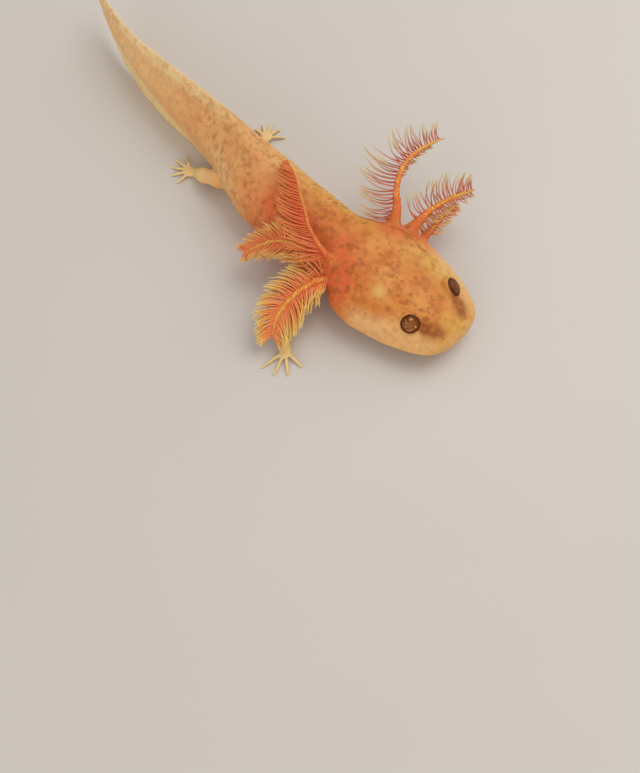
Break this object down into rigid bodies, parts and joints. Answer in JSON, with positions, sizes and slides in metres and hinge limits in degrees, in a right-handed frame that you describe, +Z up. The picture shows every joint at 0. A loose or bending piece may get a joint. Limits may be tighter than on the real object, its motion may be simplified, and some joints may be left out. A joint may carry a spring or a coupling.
{
  "type": "axolotl model",
  "caption": "Life-size still model of a young axolotl resting on its belly, feet and tail fin, with feathery gills.",
  "frame": {"origin": "on the floor, under the middle of the whole animal's bounding box", "axes": "+X towards the snout, +Y to the animal's left, +Z up"},
  "size_m": [0.0748, 0.0382, 0.0105],
  "materials": {
    "skin": "moist skin, golden orange with brown speckles",
    "pale_skin": "moist skin, pale and slightly see-through",
    "fin": "thin moist fin skin, tan gold",
    "gill": "moist red-orange gill tissue",
    "eye": "clear wet cornea over a dark iris with a gold ring"
  },
  "bodies": {
    "root": {"head": "skin", "lower_jaw": "pale_skin", "eye_left": "eye", "eye_right": "eye", "neck": "skin", "trunk_front": "skin", "trunk_rear": "skin", "tail_base": "skin", "tail_middle": "skin", "tail_tip": "skin", "fin_back": "fin", "fin_tail_upper": "fin", "fin_tail_lower": "fin", "gill_left_back": "gill", "gill_left_middle": "gill", "gill_left_front": "gill", "gill_right_back": "gill", "gill_right_middle": "gill", "gill_right_front": "gill", "foreleg_right_upper": "pale_skin", "foreleg_right_lower": "pale_skin", "hand_right": "pale_skin", "foreleg_left_upper": "pale_skin", "foreleg_left_lower": "pale_skin", "hand_left": "pale_skin", "hindleg_right_upper": "pale_skin", "hindleg_right_lower": "pale_skin", "foot_right": "pale_skin", "hindleg_left_upper": "pale_skin", "hindleg_left_lower": "pale_skin", "foot_left": "pale_skin"}
  },
  "joints": []
}
